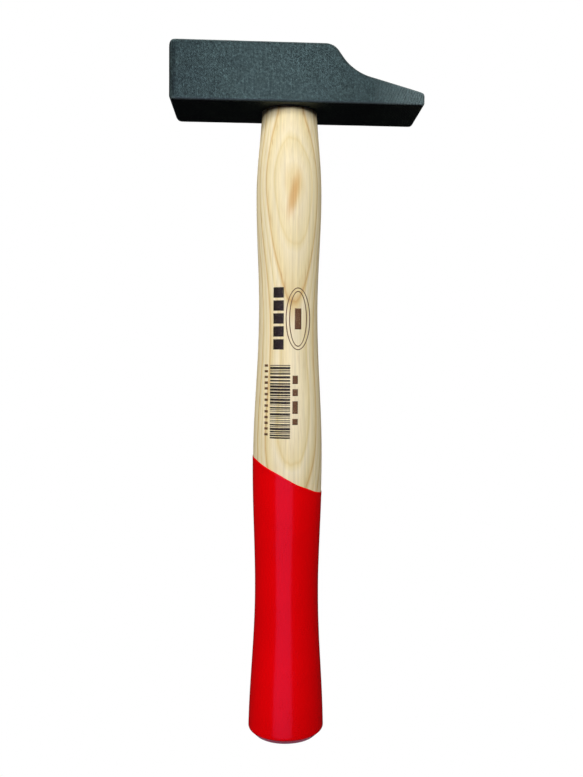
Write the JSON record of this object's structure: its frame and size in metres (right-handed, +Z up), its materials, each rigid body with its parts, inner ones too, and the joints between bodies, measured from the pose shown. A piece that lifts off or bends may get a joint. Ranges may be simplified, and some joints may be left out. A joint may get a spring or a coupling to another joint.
{
  "type": "joiner's hammer",
  "caption": "Hand hammer with a square-faced black steel head, a flat pein flush with the underside, and a waisted wooden handle with a dipped red grip.",
  "frame": {"origin": "centre of the butt's flat bottom", "axes": "+Z up the handle to the head, +X from the striking face towards the pein, Y across the cheeks"},
  "size_m": [0.108, 0.0268, 0.3],
  "materials": {
    "black_lacquered_steel": "satin, fine grained",
    "varnished_ash": "clear varnish",
    "wedge_hardwood": "end grain, raw",
    "wedge_steel": "raw",
    "red_dip_lacquer": "gloss",
    "printing_ink": "matt, under the varnish"
  },
  "bodies": {
    "root": {"hammer_head": "black_lacquered_steel", "handle": "varnished_ash", "wood_wedge": "wedge_hardwood", "steel_wedge": "wedge_steel", "grip_lacquer": "red_dip_lacquer"}
  },
  "joints": []
}
